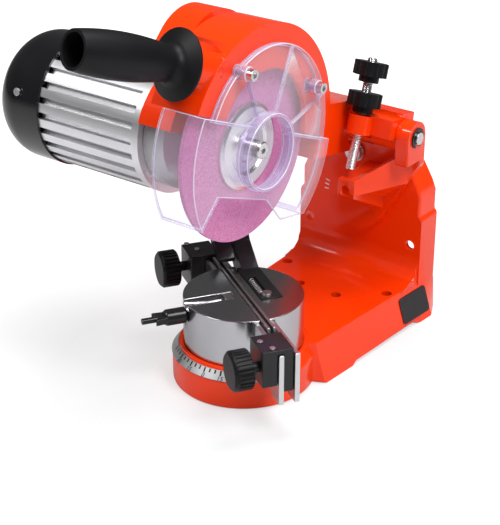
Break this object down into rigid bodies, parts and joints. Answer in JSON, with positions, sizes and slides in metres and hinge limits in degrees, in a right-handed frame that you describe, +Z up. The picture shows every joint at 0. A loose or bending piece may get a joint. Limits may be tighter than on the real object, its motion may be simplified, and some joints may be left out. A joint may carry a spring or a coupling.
{
  "type": "bench saw chain grinder",
  "caption": "Bench grinder for saw chains: a sprung motor head with a thin wheel and clear guard swings down over a swivelling chain vise on a cast base.",
  "frame": {"origin": "on the bench face, under the vise's swivel axis", "axes": "+X along the wheel spindle, away from the motor; +Y to the back, towards the upright; +Z up"},
  "size_m": [0.3011, 0.3343, 0.3067],
  "materials": {
    "orange_enamel": "gloss enamel on die-cast aluminium",
    "turned_aluminium": "turned, satin",
    "motor_aluminium": "extruded, satin",
    "scale_aluminium": "printed plate",
    "black_plastic": "moulded, fine matt",
    "switch_plastic": "moulded, gloss",
    "black_steel": "black oxide",
    "zinc_steel": "bright zinc",
    "ground_steel": "ground flat stock",
    "flange_aluminium": "turned",
    "spring_steel": "drawn wire",
    "badge_film": "dark satin, blank",
    "clear_plastic": "clear moulding",
    "pink_abrasive": "vitrified grit",
    "motor_iron": "laminated iron with windings"
  },
  "bodies": {
    "base": {"base_casting": "orange_enamel", "angle_scale": "scale_aluminium", "side_badge": "badge_film", "tilt_pointer": "zinc_steel", "pointer_screw": "zinc_steel"},
    "tilt_frame": {"tilt_bracket": "orange_enamel", "tilt_pivot_bolt": "zinc_steel", "tilt_clamp_bolt": "zinc_steel", "tilt_clamp_washer": "zinc_steel", "tilt_clamp_nut": "zinc_steel", "hinge_pin": "zinc_steel", "pin_clips": "black_steel", "head_spring": "spring_steel"},
    "head": {"head_casting": "orange_enamel", "handle_grip": "black_plastic", "handle_bolt": "zinc_steel", "motor_body": "motor_aluminium", "front_shield": "motor_aluminium", "rear_shield": "motor_aluminium", "front_bearing": "zinc_steel", "rear_bearing": "zinc_steel", "stator": "motor_iron", "motor_end_cap": "black_plastic", "cap_screw": "zinc_steel", "cable_gland": "black_plastic", "switch_bezel": "black_plastic", "guard_window": "clear_plastic", "guard_skirt": "clear_plastic", "guard_screws": "zinc_steel"},
    "wheel": {"spindle_shaft": "zinc_steel", "inner_flange": "flange_aluminium", "grinding_wheel": "pink_abrasive", "outer_flange": "flange_aluminium", "hub_screw": "zinc_steel", "rotor": "motor_iron", "cooling_fan": "black_plastic"},
    "switch": {"switch_rocker": "switch_plastic"},
    "depth_stop": {"depth_rod": "zinc_steel", "depth_knob": "black_plastic"},
    "lock": {"lock_knob": "black_plastic"},
    "vise": {"vise_block": "turned_aluminium", "swivel_pin": "zinc_steel", "front_rail": "ground_steel", "rear_rail": "ground_steel", "front_plate": "ground_steel", "rear_plate": "ground_steel", "left_end_block": "black_steel", "right_end_block": "black_steel", "end_block_screws": "zinc_steel", "clamp_jaw": "ground_steel", "stop_bracket": "black_steel", "stop_screw": "zinc_steel", "stop_spring": "spring_steel", "pawl_pin": "zinc_steel"},
    "left_adjuster": {"left_spindle": "black_steel", "left_thumb_knob": "black_plastic"},
    "right_adjuster": {"right_spindle": "black_steel", "right_thumb_knob": "black_plastic"},
    "clamp": {"clamp_lever": "black_steel"},
    "pawl": {"stop_pawl": "zinc_steel"}
  },
  "joints": [
    {"name": "head_tilt", "type": "hinge", "parent": "base", "child": "tilt_frame", "pos_m": [0, 0.161, 0.098], "axis": [0, 1, 0], "range_deg": [-30, 30]},
    {"name": "head_swing", "type": "hinge", "parent": "tilt_frame", "child": "head", "pos_m": [0, 0.146, 0.165], "axis": [1, 0, 0], "range_deg": [0, 9.5], "stiffness_Nm_per_rad": 12, "springref_deg": -57.3},
    {"name": "wheel_spin", "type": "hinge", "parent": "head", "child": "wheel", "pos_m": [0, 0.00025, 0.1907], "axis": [1, 0, 0], "continuous": true},
    {"name": "switch_rock", "type": "hinge", "parent": "head", "child": "switch", "pos_m": [-0.21, 0.00025, 0.1907], "axis": [0, 0.9848, -0.1736], "range_deg": [-5, 5]},
    {"name": "depth_slide", "type": "slide", "parent": "head", "child": "depth_stop", "axis": [0, 0.309, 0.9511], "range_m": [0, 0.01]},
    {"name": "lock_turn", "type": "hinge", "parent": "head", "child": "lock", "pos_m": [0.021, 0.12138, 0.16934], "axis": [0, 0.309, 0.9511], "continuous": true},
    {"name": "vise_swivel", "type": "hinge", "parent": "base", "child": "vise", "pos_m": [0, 0, 0.03], "axis": [0, 0, 1], "range_deg": [-2, 68]},
    {"name": "left_adjust", "type": "hinge", "parent": "vise", "child": "left_adjuster", "pos_m": [-0.08847, 0.02168, 0.0565], "axis": [-0.5446, -0.8387, 0], "continuous": true},
    {"name": "right_adjust", "type": "hinge", "parent": "vise", "child": "right_adjuster", "pos_m": [0.05579, -0.072, 0.0565], "axis": [-0.5446, -0.8387, 0], "continuous": true},
    {"name": "clamp_turn", "type": "hinge", "parent": "vise", "child": "clamp", "pos_m": [-0.02723, -0.04193, 0.06], "axis": [-0.5446, -0.8387, 0], "range_deg": [-45, 45]},
    {"name": "pawl_flip", "type": "hinge", "parent": "vise", "child": "pawl", "pos_m": [-0.05317, 0.0393, 0.086], "axis": [-0.5446, -0.8387, 0], "range_deg": [0, 80]}
  ]
}
